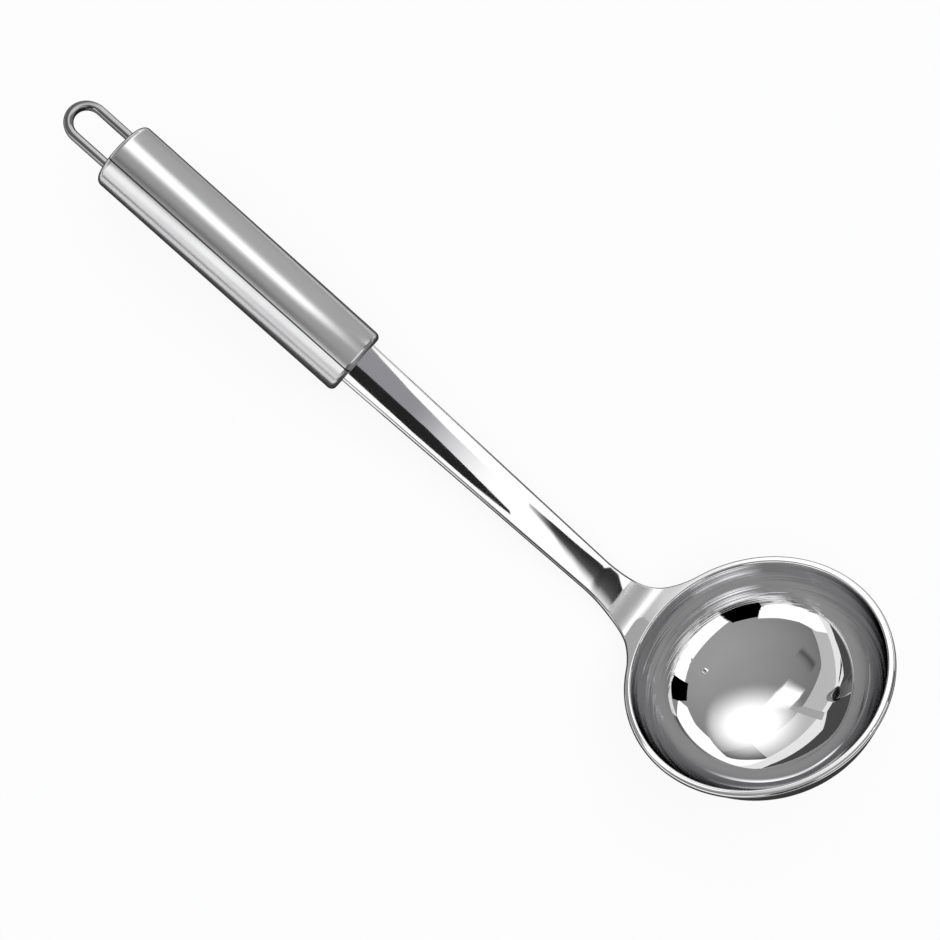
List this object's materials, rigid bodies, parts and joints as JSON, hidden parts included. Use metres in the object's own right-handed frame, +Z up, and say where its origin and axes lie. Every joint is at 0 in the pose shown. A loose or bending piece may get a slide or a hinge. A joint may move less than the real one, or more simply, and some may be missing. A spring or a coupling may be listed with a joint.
{
  "type": "soup ladle",
  "caption": "All-steel soup ladle: deep round bowl pressed in one with a flat rising shank, satin tube handle and a wire loop to hang it by.",
  "frame": {"origin": "bottom centre of the bounding box: the table that the ladle lies on is z = 0, below the middle of its length", "axes": "+Z up from the table, +X along the ladle from the bowl to the hanging loop, the ladle is symmetric about the XZ plane"},
  "size_m": [0.3186, 0.086, 0.0654],
  "materials": {
    "polished_steel": "mirror-polished stainless steel",
    "satin_steel": "satin stainless steel, polished along the tube",
    "plug_steel": "plain stainless steel",
    "wire_steel": "bright drawn stainless wire"
  },
  "bodies": {
    "root": {"bowl_and_shank": "polished_steel", "handle_tube": "satin_steel", "front_plug": "plug_steel", "rear_plug": "plug_steel", "hanging_loop": "wire_steel"}
  },
  "joints": []
}
